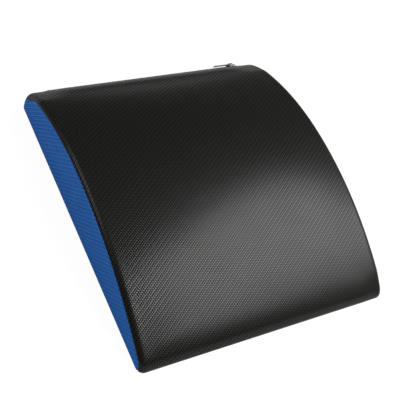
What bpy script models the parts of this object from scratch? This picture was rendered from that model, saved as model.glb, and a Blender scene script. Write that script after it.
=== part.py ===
"""Arched ab mat: a foam arch in a sewn vinyl cover with a zip across the heel.

The origin is under the middle of the mat. X runs across the mat, +Y from the
thin toe to the thick heel, and +Z is up. Lengths are in metres.
"""

import math

import bmesh
import bpy
from mathutils import Matrix, Vector

for old in list(bpy.data.objects):
    bpy.data.objects.remove(old, do_unlink=True)

MM = 0.001

# Overall sizes of the mat
LENGTH = 370 * MM  # toe to heel
WIDTH = 324 * MM  # across, at the fullest part of the side panels
HEIGHT = 78 * MM  # floor to the top of the crown
CROWN = 8 * MM  # how far the middle stands above the side edges

# Side view of the arch
CREST_FROM_TOE = 214 * MM
TOE_HEIGHT = 12.5 * MM  # where the front arc would meet the toe plane
HEEL_HEIGHT = 31 * MM  # where the rear arc would meet the heel plane
TOE_RADIUS = 16 * MM
HEEL_RADIUS = 42 * MM

# Edges and seams of the cover
EDGE_RADIUS = 8.5 * MM  # roll of the cover over the side edges
BASE_ROUND = 3 * MM  # roll of the cover under the mat
SIDE_SEAM_DEPTH = 5 * MM  # side seam below the top line
BASE_SEAM_INSET = 5 * MM  # base seam in from the outline
SIDE_PUFF = 1 * MM  # side panels stand out this far past their seams

# Sheet and thread
SKIN = 1.2 * MM
THREAD = 0.7 * MM
FIT = 0.3 * MM  # clearance between neighbours
WELD = 0.1 * MM  # points of one skin closer than this are one point

# Zip across the heel
ZIP_RISE = 24 * MM  # from the base round to the zip, along the skin
ZIP_END_MARGIN = 26 * MM  # from the side seams' plane to the opening in the skins
ZIP_OPENING = 11 * MM
ZIP_TAPE_REACH = 14 * MM  # tape on each side of the zip line
ZIP_TAPE_OVERLAP = 8 * MM  # tape past each end of the opening
ZIP_TAPE = 0.6 * MM
ZIP_PARTING = 1.2 * MM  # between the two rows
COIL = 2.2 * MM
COIL_END = 3.5 * MM  # from a coil's end to the opening's end
STOP_LENGTH = 2.7 * MM
STOP_WIDTH = 2.1 * MM
STOP_HEIGHT = 1.8 * MM
STOP_ROUND = 0.4 * MM
TOPSTITCH_MARGIN = 2.5 * MM

# Slider and pull tab
SLIDER_LENGTH = 11 * MM
SLIDER_WIDTH = 10 * MM
SLIDER_PLATE = 1 * MM
SLIDER_BACK_PLATE = 0.8 * MM
SLIDER_FLANGE = 0.8 * MM
SLIDER_LIP = 0.25 * MM  # plates stand this far past the flanges
SLIDER_ROUND = 2 * MM
SLIDER_NECK = 3 * MM
BRIDGE_SPAN = 7.2 * MM
BRIDGE_WIRE = 1 * MM
BRIDGE_BEND = 1.2 * MM
TAB_LENGTH = 26 * MM
TAB_WIDTH = 5.5 * MM
TAB_THICKNESS = 1.2 * MM
TAB_RAIL = 1.1 * MM
TAB_WINDOW = 5 * MM
TAB_HOLE = 2.4 * MM
TAB_HOLE_FROM_END = 3.4 * MM

# Foam behind the zip is pressed in to make room
POCKET_MARGIN = 1 * MM
OVERRUN = 4 * MM  # cutters reach this far past what they cut

# Fineness of the curved surfaces
TOE_STEPS = 5
FRONT_STEPS = 9
REAR_STEPS = 7
HEEL_STEPS = 8
BASE_ROUND_STEPS = 3
ROLL_STEPS = 4
CROWN_STEPS = 12
SIDE_ROWS = 5
THREAD_SIDES = 1
WIRE_SIDES = 3

# Shape of the crown and of the side panels
CROWN_EASE_SHARE = 1.5
PUFF_RING_SHARES = (0.85, 0.6, 0.3)

HALF_WIDTH = WIDTH / 2 - SIDE_PUFF  # to the side seams' plane
HALF_ZIP = HALF_WIDTH - ZIP_END_MARGIN
TOE_Y = -LENGTH / 2
HEEL_Y = LENGTH / 2
SIDE_CREST = HEIGHT - CROWN
CREST_Y = TOE_Y + CREST_FROM_TOE
HALF_CRACK = THREAD / 2 + FIT
MID_SKIN = SKIN / 2
QUARTER = math.pi / 2


def arc_radius(run, rise):
    """Radius of an arc that is level at the crest and drops by rise over run."""
    return (run * run + rise * rise) / (2 * rise)


def corner_height(big_radius, small_radius, run):
    """Height of a corner circle that touches the end plane and the big arc inside."""
    reach = math.sqrt((big_radius - small_radius) ** 2 - (run - small_radius) ** 2)
    return SIDE_CREST - big_radius + reach


def arc_piece(centre_y, centre_z, radius, first, last, steps):
    """One arc of the side view; angles run from +Y towards +Z."""
    return {
        "centre": (centre_y, centre_z),
        "radius": radius,
        "first": first,
        "last": last,
        "length": radius * abs(last - first),
        "steps": steps,
        "kind": "arc",
    }


def straight_piece(y, low, high, upwards):
    """The upright stretch of an end wall between its base round and its arc."""
    piece = {"y": y, "low": low, "high": high, "up": upwards, "length": high - low}
    return {**piece, "steps": 1, "kind": "wall"}


def base_piece(kind, end_y, length, steps):
    """The base round, or the flat stretch from it to the base seam."""
    return {"y": end_y, "length": length, "steps": steps, "kind": kind}


def side_line():
    """The skin's line from the toe's base seam, over the crest, to the heel's base seam."""
    front = arc_radius(CREST_FROM_TOE, SIDE_CREST - TOE_HEIGHT)
    rear = arc_radius(LENGTH - CREST_FROM_TOE, SIDE_CREST - HEEL_HEIGHT)
    toe_z = corner_height(front, TOE_RADIUS, CREST_FROM_TOE)
    heel_z = corner_height(rear, HEEL_RADIUS, LENGTH - CREST_FROM_TOE)
    toe_y = TOE_Y + TOE_RADIUS
    heel_y = HEEL_Y - HEEL_RADIUS
    front_z = SIDE_CREST - front
    rear_z = SIDE_CREST - rear
    toe_top = math.atan2(toe_z - front_z, toe_y - CREST_Y)
    heel_top = math.atan2(heel_z - rear_z, heel_y - CREST_Y)
    toe_start = math.asin(max(0, BASE_ROUND - toe_z) / TOE_RADIUS)
    heel_start = math.asin(max(0, BASE_ROUND - heel_z) / HEEL_RADIUS)
    line = [
        base_piece("toe_flat", TOE_Y, BASE_SEAM_INSET - BASE_ROUND, 1),
        base_piece("toe_round", TOE_Y, BASE_ROUND * QUARTER, BASE_ROUND_STEPS),
        straight_piece(TOE_Y, BASE_ROUND, max(toe_z, BASE_ROUND), True),
        arc_piece(toe_y, toe_z, TOE_RADIUS, math.pi - toe_start, toe_top, TOE_STEPS),
        arc_piece(CREST_Y, front_z, front, toe_top, QUARTER, FRONT_STEPS),
        arc_piece(CREST_Y, rear_z, rear, QUARTER, heel_top, REAR_STEPS),
        arc_piece(heel_y, heel_z, HEEL_RADIUS, heel_top, heel_start, HEEL_STEPS),
        straight_piece(HEEL_Y, BASE_ROUND, max(heel_z, BASE_ROUND), False),
        base_piece("heel_round", HEEL_Y, BASE_ROUND * QUARTER, BASE_ROUND_STEPS),
        base_piece("heel_flat", HEEL_Y, BASE_SEAM_INSET - BASE_ROUND, 1),
    ]
    start = 0
    for piece in line:
        piece["start"] = start
        start += piece["length"]
    return line


LINE = side_line()
LINE_END = LINE[-1]["start"] + LINE[-1]["length"]
TOE_ARC, FRONT_ARC, REAR_ARC, HEEL_ARC = LINE[3:7]
CREST_TRAVEL = REAR_ARC["start"]
ZIP_TRAVEL = LINE[8]["start"] - ZIP_RISE
SEAM_ANGLE = math.asin((EDGE_RADIUS - SIDE_SEAM_DEPTH) / EDGE_RADIUS)
CRACK_ANGLE = math.asin(HALF_CRACK / (EDGE_RADIUS - MID_SKIN))


def line_point(travel, inset):
    """A place on the line, given as a distance along it: its point, facing and set-in.

    The part under the mat has no depth of its own: there the set-in moves the
    outline inwards, and the height is given.
    """
    piece = next((p for p in LINE if travel <= p["start"] + p["length"]), LINE[-1])
    along = min(max(travel - piece["start"], 0), piece["length"])
    kind = piece["kind"]
    if kind == "arc":
        share = along / piece["length"]
        angle = piece["first"] + (piece["last"] - piece["first"]) * share
        y = piece["centre"][0] + piece["radius"] * math.cos(angle)
        z = piece["centre"][1] + piece["radius"] * math.sin(angle)
        return {"y": y, "z": z, "ny": math.cos(angle), "nz": math.sin(angle), "in": inset, "flat": None}
    outwards = 1 if piece["y"] > 0 else -1
    if kind == "wall":
        z = piece["low"] + along if piece["up"] else piece["high"] - along
        return {"y": piece["y"], "z": z, "ny": outwards, "nz": 0, "in": inset, "flat": None}
    from_seam = along if piece["y"] < 0 else piece["length"] - along
    if kind.endswith("round"):
        angle = from_seam / BASE_ROUND
        radius = BASE_ROUND - inset
        set_in = BASE_ROUND - radius * math.sin(angle)
        z = BASE_ROUND - radius * math.cos(angle)
    else:
        set_in = BASE_SEAM_INSET - from_seam
        z = inset
    return {"y": piece["y"], "z": z, "ny": outwards, "nz": 0, "in": set_in, "flat": z}


def crown_share(travel):
    """How much of the crown there is: none on the toe nose and at the zip, all at the crest."""
    rise_from = FRONT_ARC["start"]
    fall_to = ZIP_TRAVEL - ZIP_TAPE_REACH - TOPSTITCH_MARGIN
    if travel <= CREST_TRAVEL:
        share = (travel - rise_from) / (CREST_TRAVEL - rise_from)
    else:
        share = (fall_to - travel) / (fall_to - CREST_TRAVEL)
    return math.sin(QUARTER * min(max(share, 0), 1)) ** CROWN_EASE_SHARE


def skin_point(travel, cross, inset=0):
    """A point of the cover. cross is ("roll", side, angle up from the side) or ("top", x)."""
    spot = line_point(travel, inset)
    if cross[0] == "roll":
        radius = EDGE_RADIUS - spot["in"]
        x = cross[1] * (HALF_WIDTH - EDGE_RADIUS + radius * math.cos(cross[2]))
        depth = EDGE_RADIUS - radius * math.sin(cross[2])
    else:
        x = cross[1]
        depth = spot["in"]
    y = spot["y"] - depth * spot["ny"]
    z = spot["z"] - depth * spot["nz"]
    if spot["flat"] is not None:
        return Vector((x, y, spot["flat"]))
    reach = min(abs(x) / (HALF_WIDTH - EDGE_RADIUS), 1)
    return Vector((x, y, z + CROWN * crown_share(travel) * (1 - reach * reach)))


def stations(first, last):
    """Distances along the line from first to last, with every change of curve between them."""
    found = [first]
    for piece in LINE:
        for step in range(piece["steps"]):
            travel = piece["start"] + piece["length"] * step / piece["steps"]
            if first + WELD < travel < last - WELD and travel > found[-1] + WELD:
                found.append(travel)
    return found + [last]


def full_cross(angle):
    """Stations across the mat, from one side edge at this angle of the roll to the other."""
    rise = [angle + (QUARTER - angle) * step / ROLL_STEPS for step in range(ROLL_STEPS)]
    half = HALF_WIDTH - EDGE_RADIUS
    middle = [("top", -half + 2 * half * step / CROWN_STEPS) for step in range(CROWN_STEPS + 1)]
    left = [("roll", -1, a) for a in rise]
    right = [("roll", 1, a) for a in reversed(rise)]
    return left + middle + right


parts = bpy.data.collections.new("ab_mat")
cutters = bpy.data.collections.new("cutters")
bpy.context.scene.collection.children.link(parts)
bpy.context.scene.collection.children.link(cutters)


def material(name, colour, roughness, metallic=0.0):
    made = bpy.data.materials.new(name)
    made.use_nodes = True
    shader = made.node_tree.nodes["Principled BSDF"]
    shader.inputs["Base Color"].default_value = (*colour, 1)
    shader.inputs["Roughness"].default_value = roughness
    shader.inputs["Metallic"].default_value = metallic
    return made


BLACK_VINYL = material("black_vinyl", (0.02, 0.02, 0.022), 0.42)
BLUE_VINYL = material("blue_vinyl", (0.03, 0.09, 0.32), 0.45)
BASE_CLOTH = material("base_cloth", (0.025, 0.025, 0.027), 0.8)
FOAM = material("foam", (0.12, 0.12, 0.13), 0.9)
BLACK_THREAD = material("black_thread", (0.012, 0.012, 0.013), 0.7)
TAPE = material("zip_tape", (0.015, 0.015, 0.017), 0.85)
NYLON = material("zip_nylon", (0.02, 0.02, 0.022), 0.35)
PLATED = material("plated_metal", (0.09, 0.09, 0.095), 0.3, 1.0)


def add_object(name, mesh, finish, collection=parts):
    item = bpy.data.objects.new(name, mesh)
    collection.objects.link(item)
    if finish:
        mesh.materials.append(finish)
    return item


def mesh_from(rows, closed_across=False):
    """A surface through a table of points, row by row."""
    shape = bmesh.new()
    grid = [[shape.verts.new(point) for point in row] for row in rows]
    count = len(grid[0])
    for low, high in zip(grid, grid[1:]):
        for i in range(count if closed_across else count - 1):
            j = (i + 1) % count
            shape.faces.new((low[i], low[j], high[j], high[i]))
    return shape, grid


def finish_mesh(name, shape):
    mesh = bpy.data.meshes.new(name)
    bmesh.ops.remove_doubles(shape, verts=shape.verts, dist=WELD)
    bmesh.ops.recalc_face_normals(shape, faces=shape.faces)
    shape.to_mesh(mesh)
    shape.free()
    mesh.shade_smooth()
    mesh.set_sharp_from_angle(angle=math.radians(40))
    return mesh


def face_outwards(mesh):
    """An open skin faces away from the middle of the mat."""
    middle = Vector((0, 0, SIDE_CREST / 2))
    facing = sum((face.center - middle).dot(face.normal) * face.area for face in mesh.polygons)
    if facing < 0:
        mesh.flip_normals()


def thicken(item, thickness):
    wall = item.modifiers.new("wall", "SOLIDIFY")
    wall.thickness = thickness
    wall.offset = -1
    wall.use_even_offset = True


def skin_object(name, travels, crosses, finish, thickness=SKIN, inset=0, collection=parts):
    """A sheet that follows the cover between these stations."""
    rows = [[skin_point(travel, cross, inset) for cross in crosses] for travel in travels]
    shape, _ = mesh_from(rows)
    mesh = finish_mesh(name, shape)
    face_outwards(mesh)
    item = add_object(name, mesh, finish, collection)
    thicken(item, thickness)
    return item


def as_cutter(item):
    item.hide_render = True
    item.display_type = "WIRE"
    return item


def cut(item, cutter):
    boolean = item.modifiers.new("cut", "BOOLEAN")
    boolean.operation = "DIFFERENCE"
    boolean.solver = "EXACT"
    boolean.object = cutter


def join(item, other):
    boolean = item.modifiers.new("join", "BOOLEAN")
    boolean.operation = "UNION"
    boolean.solver = "EXACT"
    boolean.object = other


def box_mesh(name, size, centre, rounding=0, upright_only=False, segments=2):
    """A box; rounding is for all its edges, or only for those along Z."""
    shape = bmesh.new()
    bmesh.ops.create_cube(shape, size=1)
    for vert in shape.verts:
        vert.co = Vector(centre) + Vector([a * b for a, b in zip(vert.co, size)])
    if rounding:
        edges = shape.edges[:]
        if upright_only:
            edges = [e for e in edges if abs((e.verts[0].co - e.verts[1].co).normalized().z) > 0.5]
        bmesh.ops.bevel(shape, geom=edges, offset=rounding, segments=segments, affect="EDGES", profile=0.5)
    mesh = bpy.data.meshes.new(name)
    shape.to_mesh(mesh)
    shape.free()
    return mesh


def tube(name, points, diameter, finish, sides, loop=False):
    """A thread or wire along points."""
    curve = bpy.data.curves.new(name, "CURVE")
    curve.dimensions = "3D"
    curve.bevel_depth = diameter / 2
    curve.bevel_resolution = sides
    curve.use_fill_caps = not loop
    spline = curve.splines.new("POLY")
    spline.points.add(len(points) - 1)
    for spot, point in zip(spline.points, points):
        spot.co = (*point, 1)
    spline.use_cyclic_u = loop
    return add_object(name, curve, finish)


# Frame of the zip: X along it, Y up the heel, Z out of the skin
zip_spot = line_point(ZIP_TRAVEL, 0)
zip_out = Vector((0, zip_spot["ny"], zip_spot["nz"]))
zip_up = Vector((0, -zip_spot["nz"], zip_spot["ny"]))
zip_along = zip_up.cross(zip_out)
zip_frame = bpy.data.objects.new("zip_frame", None)
parts.objects.link(zip_frame)
zip_frame.matrix_world = Matrix.Translation((0, zip_spot["y"], zip_spot["z"])) @ Matrix(
    (zip_along, zip_up, zip_out)
).transposed().to_4x4()


def on_zip(item, place=(0, 0, 0), parent=zip_frame):
    item.parent = parent
    item.location = place
    return item


# Cover
cover_edge = SEAM_ANGLE + CRACK_ANGLE
cover_cross = full_cross(cover_edge)
top_cover = skin_object(
    "top_cover", stations(HALF_CRACK, ZIP_TRAVEL - HALF_CRACK), cover_cross, BLACK_VINYL
)
heel_strip = skin_object(
    "heel_strip", stations(ZIP_TRAVEL + HALF_CRACK, LINE_END - HALF_CRACK), cover_cross, BLACK_VINYL
)
opening_size = (2 * HALF_ZIP, ZIP_OPENING, 2 * (SKIN + OVERRUN))
opening = as_cutter(
    on_zip(
        add_object(
            "zip_opening",
            box_mesh("zip_opening", opening_size, (0, 0, 0), ZIP_OPENING / 4, True),
            None,
            cutters,
        )
    )
)
cut(top_cover, opening)
cut(heel_strip, opening)


def side_panel_rows(side):
    """Columns of the side panel, each from the base seam round the edge and up to the side seam."""
    thread_depth = EDGE_RADIUS - (EDGE_RADIUS - MID_SKIN) * math.sin(SEAM_ANGLE)
    panel_sine = (EDGE_RADIUS - thread_depth - HALF_CRACK) / EDGE_RADIUS
    top_cross = ("roll", side, math.asin(max(panel_sine, 0)))
    arch_first = TOE_ARC["start"]
    arch_last = HEEL_ARC["start"] + HEEL_ARC["length"]
    flat_in = BASE_SEAM_INSET - HALF_CRACK
    rows = []
    for travel in stations(arch_first, arch_last):
        top = skin_point(travel, top_cross)
        from_end = min(top.y - TOE_Y, HEEL_Y - top.y)
        turn = math.asin(min(max((EDGE_RADIUS - from_end) / EDGE_RADIUS, 0), 1))
        end = -1 if top.y < 0 else 1
        column = []
        spots = [(flat_in, 0)]
        for step in range(BASE_ROUND_STEPS + 1):
            angle = QUARTER * (1 - step / BASE_ROUND_STEPS)
            spots.append((BASE_ROUND * (1 - math.cos(angle)), BASE_ROUND * (1 - math.sin(angle))))
        for set_in, z in spots:
            x = HALF_WIDTH - EDGE_RADIUS * (1 - math.cos(turn)) - set_in * math.cos(turn)
            y = top.y - end * set_in * math.sin(turn)
            column.append(Vector((side * x, y, z)))
        foot = column[-1]
        for step in range(1, SIDE_ROWS + 1):
            column.append(foot.lerp(top, step / SIDE_ROWS))
        rows.append(column)
    puff_out(rows, side)
    return rows


def puff_out(rows, side):
    """Fill out the upright part of a side panel, most in its middle."""
    for number, column in enumerate(rows):
        along = (number + 0.5) / len(rows)
        for step in range(1, SIDE_ROWS):
            up = step / SIDE_ROWS
            fullness = math.sin(math.pi * along) * math.sin(math.pi * up)
            column[BASE_ROUND_STEPS + 1 + step].x += side * SIDE_PUFF * fullness


for side, label in ((-1, "left"), (1, "right")):
    name = label + "_side_panel"
    shape, _ = mesh_from(side_panel_rows(side))
    mesh = finish_mesh(name, shape)
    face_outwards(mesh)
    thicken(add_object(name, mesh, BLUE_VINYL), SKIN)

# Base
base_inset = BASE_SEAM_INSET + HALF_CRACK
base_size = (2 * (HALF_WIDTH - base_inset), LENGTH - 2 * base_inset, SKIN)
base_panel = add_object(
    "base_panel",
    box_mesh("base_panel", base_size, (0, 0, SKIN / 2), EDGE_RADIUS - base_inset, True, 4),
    BASE_CLOTH,
)

# Seam threads
base_loop = []
for side, end, first in ((1, 1, 0), (-1, 1, 1), (-1, -1, 2), (1, -1, 3)):
    for step in range(ROLL_STEPS + 1):
        angle = QUARTER * (first + step / ROLL_STEPS)
        radius = EDGE_RADIUS - BASE_SEAM_INSET
        x = side * (HALF_WIDTH - EDGE_RADIUS) + radius * math.cos(angle)
        y = end * (LENGTH / 2 - EDGE_RADIUS) + radius * math.sin(angle)
        base_loop.append((x, y, MID_SKIN))
tube("base_seam_thread", base_loop, THREAD, BLACK_THREAD, THREAD_SIDES, loop=True)

thread_clear = THREAD + FIT
end_clear_angle = SEAM_ANGLE + thread_clear / (EDGE_RADIUS - MID_SKIN)
for side, label in ((-1, "left"), (1, "right")):
    seam = ("roll", side, SEAM_ANGLE)
    path = [skin_point(t, seam, MID_SKIN) for t in stations(thread_clear, LINE_END - thread_clear)]
    tube(label + "_side_seam_thread", path, THREAD, BLACK_THREAD, THREAD_SIDES)
    rise = [end_clear_angle + (QUARTER - end_clear_angle) * step / ROLL_STEPS for step in range(ROLL_STEPS)]
    crosses = [("roll", side, angle) for angle in rise]
    crosses += [("top", side * (HALF_WIDTH - EDGE_RADIUS)), ("top", side * (HALF_ZIP + FIT))]
    path = [skin_point(ZIP_TRAVEL, cross, MID_SKIN) for cross in crosses]
    tube(label + "_zip_end_thread", path, THREAD, BLACK_THREAD, THREAD_SIDES)

stitch_inset = -(THREAD / 2 + FIT)
stitch_reach = ZIP_OPENING / 2 + TOPSTITCH_MARGIN
stitch_x = HALF_ZIP + TOPSTITCH_MARGIN
stitch_travels = stations(ZIP_TRAVEL - stitch_reach, ZIP_TRAVEL + stitch_reach)
stitch_loop = [skin_point(t, ("top", -stitch_x), stitch_inset) for t in stitch_travels]
stitch_loop += [skin_point(t, ("top", stitch_x), stitch_inset) for t in reversed(stitch_travels)]
tube("zip_topstitch_thread", stitch_loop, THREAD, BLACK_THREAD, THREAD_SIDES, loop=True)

# Zip tapes, under the skins
tape_inset = SKIN + FIT
tape_x = HALF_ZIP + ZIP_TAPE_OVERLAP
tape_cross = [("top", -tape_x), ("top", tape_x)]
tape_edge = ZIP_PARTING / 2
skin_object(
    "upper_zip_tape",
    stations(ZIP_TRAVEL - ZIP_TAPE_REACH, ZIP_TRAVEL - tape_edge),
    tape_cross,
    TAPE,
    ZIP_TAPE,
    tape_inset,
)
skin_object(
    "lower_zip_tape",
    stations(ZIP_TRAVEL + tape_edge, ZIP_TRAVEL + ZIP_TAPE_REACH),
    tape_cross,
    TAPE,
    ZIP_TAPE,
    tape_inset,
)

# Coils and stops, on the tapes
tape_top = -tape_inset
coil_z = tape_top + FIT + COIL / 2
coil_y = ZIP_PARTING / 2 + COIL / 2
coil_x = HALF_ZIP - COIL_END
for direction, label in ((1, "upper"), (-1, "lower")):
    ends = [(-coil_x, direction * coil_y, coil_z), (coil_x, direction * coil_y, coil_z)]
    on_zip(tube(label + "_zip_coil", ends, COIL, NYLON, WIRE_SIDES))

stop_x = coil_x + FIT + STOP_LENGTH / 2
stop_z = tape_top + FIT + STOP_HEIGHT / 2
stop_size = (STOP_LENGTH, STOP_WIDTH, STOP_HEIGHT)
for direction, label in ((1, "upper"), (-1, "lower")):
    stop = add_object(
        label + "_zip_top_stop", box_mesh(label + "_zip_top_stop", stop_size, (0, 0, 0), STOP_ROUND), PLATED
    )
    on_zip(stop, (-stop_x, direction * (ZIP_PARTING / 2 + STOP_WIDTH / 2), stop_z))
bottom_size = (STOP_LENGTH, ZIP_PARTING + 2 * STOP_WIDTH, STOP_HEIGHT)
on_zip(
    add_object("zip_bottom_stop", box_mesh("zip_bottom_stop", bottom_size, (0, 0, 0), STOP_ROUND), PLATED),
    (stop_x, 0, stop_z),
)

# Slider, at the closed end of the zip
slider_x = -(stop_x - STOP_LENGTH / 2 - FIT - SLIDER_LENGTH / 2)
slider_frame = bpy.data.objects.new("slider_frame", None)
parts.objects.link(slider_frame)
on_zip(slider_frame, (slider_x, 0, 0))

tape_drop = HEEL_RADIUS - math.sqrt(HEEL_RADIUS**2 - (SLIDER_WIDTH / 2) ** 2)
plate_low = coil_z + COIL / 2 + FIT
plate_top = plate_low + SLIDER_PLATE
back_top = -(tape_inset + ZIP_TAPE + tape_drop + FIT)
back_low = back_top - SLIDER_BACK_PLATE
plate_size = (SLIDER_LENGTH, SLIDER_WIDTH, SLIDER_PLATE)
slider = add_object(
    "zip_slider",
    box_mesh("zip_slider", plate_size, (0, 0, plate_low + SLIDER_PLATE / 2), SLIDER_ROUND, True, 3),
    PLATED,
)
on_zip(slider, parent=slider_frame)


def slider_piece(name, size, centre, rounding=0):
    piece = add_object(name, box_mesh(name, size, centre, rounding, True, 3), None, cutters)
    join(slider, as_cutter(on_zip(piece, parent=slider_frame)))


sunk = SLIDER_PLATE / 2
back_size = (SLIDER_LENGTH, SLIDER_WIDTH, SLIDER_BACK_PLATE)
slider_piece("slider_back", back_size, (0, 0, back_low + SLIDER_BACK_PLATE / 2), SLIDER_ROUND)
neck_low = back_low + SLIDER_BACK_PLATE / 2
neck_high = plate_low + sunk
neck_size = (SLIDER_NECK, ZIP_PARTING - 2 * FIT, neck_high - neck_low)
slider_piece("slider_neck", neck_size, (0, 0, (neck_low + neck_high) / 2))
flange_low = tape_top + FIT
flange_high = plate_low + sunk
flange_size = (SLIDER_LENGTH - 2 * SLIDER_ROUND, SLIDER_FLANGE, flange_high - flange_low)
for direction, label in ((1, "upper"), (-1, "lower")):
    flange_y = direction * ((SLIDER_WIDTH - SLIDER_FLANGE) / 2 - SLIDER_LIP)
    flange_centre = (0, flange_y, (flange_low + flange_high) / 2)
    slider_piece("slider_flange_" + label, flange_size, flange_centre)

bar_radius = TAB_THICKNESS / 2
hinge_z = plate_top + FIT + bar_radius
bridge_z = hinge_z + bar_radius + FIT + BRIDGE_WIRE / 2
bridge_foot = plate_low + sunk
bridge_path = []
for sign, first in ((-1, 2), (1, 1)):
    leg = [(sign * BRIDGE_SPAN / 2, 0, bridge_foot)]
    for step in range(WIRE_SIDES + 1):
        turn = QUARTER * step / WIRE_SIDES
        x = sign * (BRIDGE_SPAN / 2 - BRIDGE_BEND * (1 - math.cos(turn)))
        leg.append((x, 0, bridge_z - BRIDGE_BEND * (1 - math.sin(turn))))
    bridge_path += leg if sign < 0 else leg[::-1]
bridge_curve = tube("slider_bridge", bridge_path, BRIDGE_WIRE, None, WIRE_SIDES)


def curve_to_mesh(item, collection):
    """The same wire as a closed mesh, so that it can be joined."""
    graph = bpy.context.evaluated_depsgraph_get()
    mesh = bpy.data.meshes.new_from_object(item.evaluated_get(graph))
    name = item.name
    bpy.data.objects.remove(item, do_unlink=True)
    shape = bmesh.new()
    shape.from_mesh(mesh)
    bmesh.ops.remove_doubles(shape, verts=shape.verts, dist=WELD / 10)
    bmesh.ops.recalc_face_normals(shape, faces=shape.faces)
    shape.to_mesh(mesh)
    shape.free()
    return add_object(name, mesh, None, collection)


join(slider, as_cutter(on_zip(curve_to_mesh(bridge_curve, cutters), parent=slider_frame)))

# Pull tab, its eye bar under the bridge
tab_centre = (TAB_LENGTH / 2 - bar_radius, 0, 0)
tab_size = (TAB_LENGTH, TAB_WIDTH, TAB_THICKNESS)
tab = add_object("zip_pull_tab", box_mesh("zip_pull_tab", tab_size, tab_centre, TAB_THICKNESS / 4), PLATED)
on_zip(tab, (0, 0, hinge_z), slider_frame)
window_size = (TAB_WINDOW, TAB_WIDTH - 2 * TAB_RAIL, TAB_THICKNESS + 2 * OVERRUN)
window = add_object(
    "tab_window", box_mesh("tab_window", window_size, (bar_radius + TAB_WINDOW / 2, 0, 0)), None, cutters
)
cut(tab, as_cutter(on_zip(window, (0, 0, hinge_z), slider_frame)))
shape = bmesh.new()
bmesh.ops.create_cone(
    shape,
    cap_ends=True,
    segments=16,
    radius1=TAB_HOLE / 2,
    radius2=TAB_HOLE / 2,
    depth=TAB_THICKNESS + 2 * OVERRUN,
)
hole_mesh = bpy.data.meshes.new("tab_hole")
shape.to_mesh(hole_mesh)
shape.free()
hole = add_object("tab_hole", hole_mesh, None, cutters)
hole_x = TAB_LENGTH - bar_radius - TAB_HOLE_FROM_END
cut(tab, as_cutter(on_zip(hole, (hole_x, 0, hinge_z), slider_frame)))

# Foam core: rings across the mat, closed by puffed ends
core_inset = SKIN + FIT
core_radius = EDGE_RADIUS - core_inset
chamfer_angle = math.acos((EDGE_RADIUS - BASE_ROUND) / core_radius)
roll_angles = [0, chamfer_angle, (chamfer_angle + QUARTER) / 2]
half = HALF_WIDTH - EDGE_RADIUS
core_cross = [("roll", -1, angle) for angle in roll_angles]
core_cross += [("top", -half + 2 * half * step / CROWN_STEPS) for step in range(CROWN_STEPS + 1)]
core_cross += [("roll", 1, angle) for angle in reversed(roll_angles)]
arch = stations(TOE_ARC["start"], HEEL_ARC["start"] + HEEL_ARC["length"])
rings = []
for number, cross in enumerate(core_cross):
    over = [skin_point(travel, cross, core_inset) for travel in arch]
    side_ring = number in (0, len(core_cross) - 1)
    floor = BASE_ROUND if side_ring else core_inset
    chamfer = BASE_ROUND - core_inset
    toe_foot, heel_foot = over[0], over[-1]
    under = [
        Vector((heel_foot.x, heel_foot.y, BASE_ROUND)),
        Vector((heel_foot.x, heel_foot.y - chamfer, floor)),
        Vector((toe_foot.x, toe_foot.y + chamfer, floor)),
        Vector((toe_foot.x, toe_foot.y, BASE_ROUND)),
    ]
    rings.append(over + under)


def ring_middle(ring):
    return sum(ring, Vector()) / len(ring)


def puffed_end(ring, side):
    """Smaller copies of the end ring, each a little further out, towards a full middle."""
    middle = ring_middle(ring)
    shrunk = []
    for share in PUFF_RING_SHARES:
        step_out = Vector((side * SIDE_PUFF * (1 - share * share), 0, 0))
        shrunk.append([middle + (point - middle) * share + step_out for point in ring])
    return shrunk


left_end = puffed_end(rings[0], -1)
right_end = puffed_end(rings[-1], 1)
all_rings = left_end[::-1] + rings + right_end
shape, grid = mesh_from(all_rings, closed_across=True)
shape.faces.new(grid[0])
shape.faces.new(grid[-1])
foam_core = add_object("foam_core", finish_mesh("foam_core", shape), FOAM)

bed_travels = stations(
    ZIP_TRAVEL - ZIP_TAPE_REACH - POCKET_MARGIN, ZIP_TRAVEL + ZIP_TAPE_REACH + POCKET_MARGIN
)
bed_x = tape_x + POCKET_MARGIN
bed_depth = tape_inset + ZIP_TAPE + FIT
bed = skin_object(
    "zip_bed",
    bed_travels,
    [("top", -bed_x), ("top", bed_x)],
    None,
    bed_depth + OVERRUN,
    -OVERRUN,
    cutters,
)
cut(foam_core, as_cutter(bed))
channel_low = back_low - FIT
channel_size = (2 * HALF_ZIP, SLIDER_WIDTH + 2 * POCKET_MARGIN, OVERRUN - channel_low)
channel_centre = (0, 0, (OVERRUN + channel_low) / 2)
channel = add_object(
    "slider_channel", box_mesh("slider_channel", channel_size, channel_centre), None, cutters
)
cut(foam_core, as_cutter(on_zip(channel)))
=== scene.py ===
import math
from collections import Counter

import bmesh
import bpy
import numpy as np
from mathutils import Euler, Matrix, Quaternion, Vector
from mathutils.kdtree import KDTree


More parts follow.
